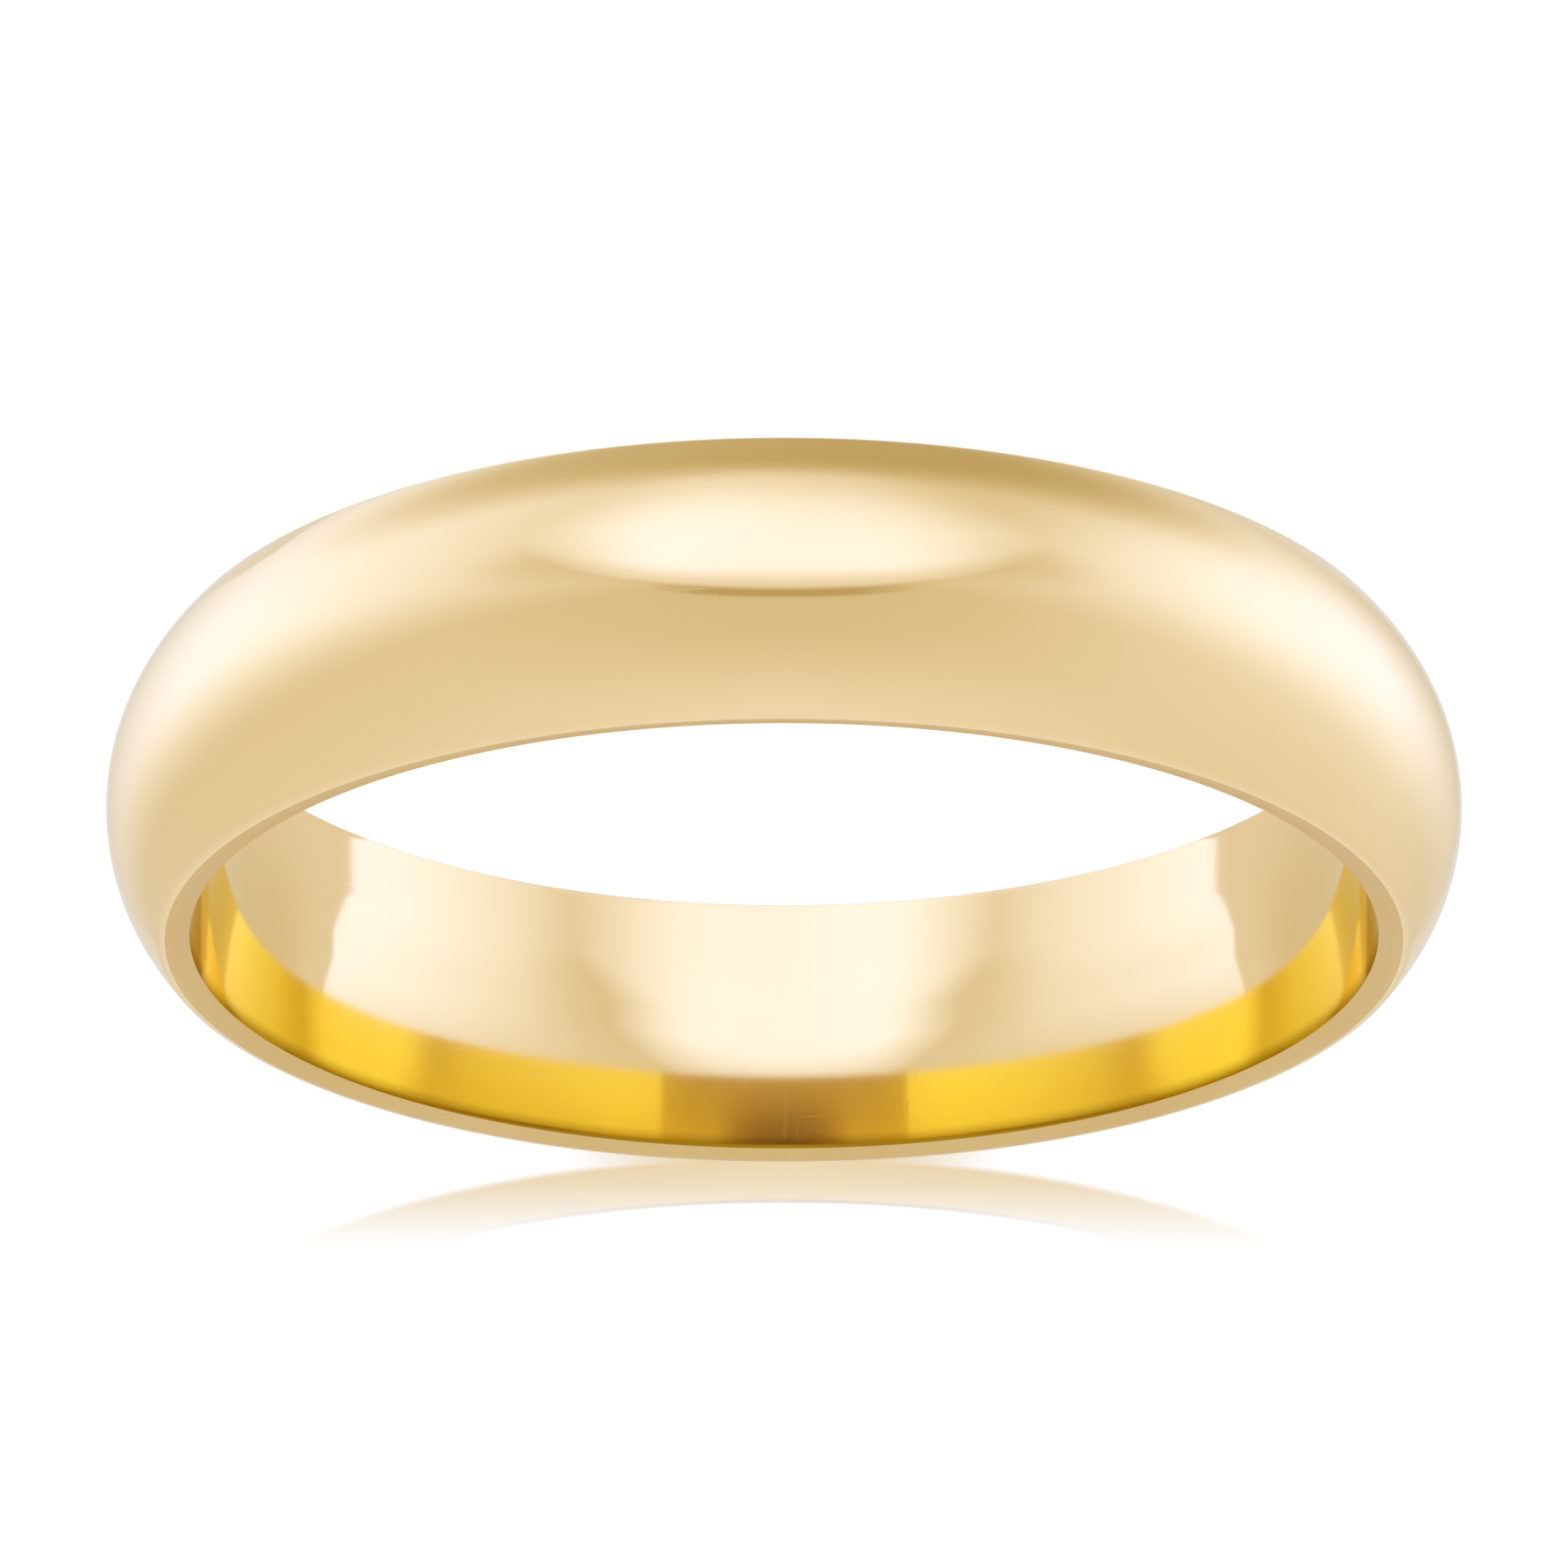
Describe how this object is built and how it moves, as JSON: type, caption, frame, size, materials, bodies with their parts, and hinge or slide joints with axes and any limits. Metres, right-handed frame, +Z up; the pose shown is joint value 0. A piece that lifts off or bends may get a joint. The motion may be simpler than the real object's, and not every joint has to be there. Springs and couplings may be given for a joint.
{
  "type": "wedding band",
  "caption": "Plain polished yellow-gold finger ring of D-shaped section: domed outside, narrow sides leaning in to the bore, smooth bore eased at both ends.",
  "frame": {"origin": "centre of the bore, midway between the two flat sides", "axes": "+Y along the bore's axis; +Z up with the ring standing on its rim; every direction across the bore is alike"},
  "size_m": [0.0188, 0.004, 0.0188],
  "materials": {
    "gold": "polished 18 carat yellow gold, satin on the flat sides"
  },
  "bodies": {
    "root": {"band": "gold"}
  },
  "joints": []
}
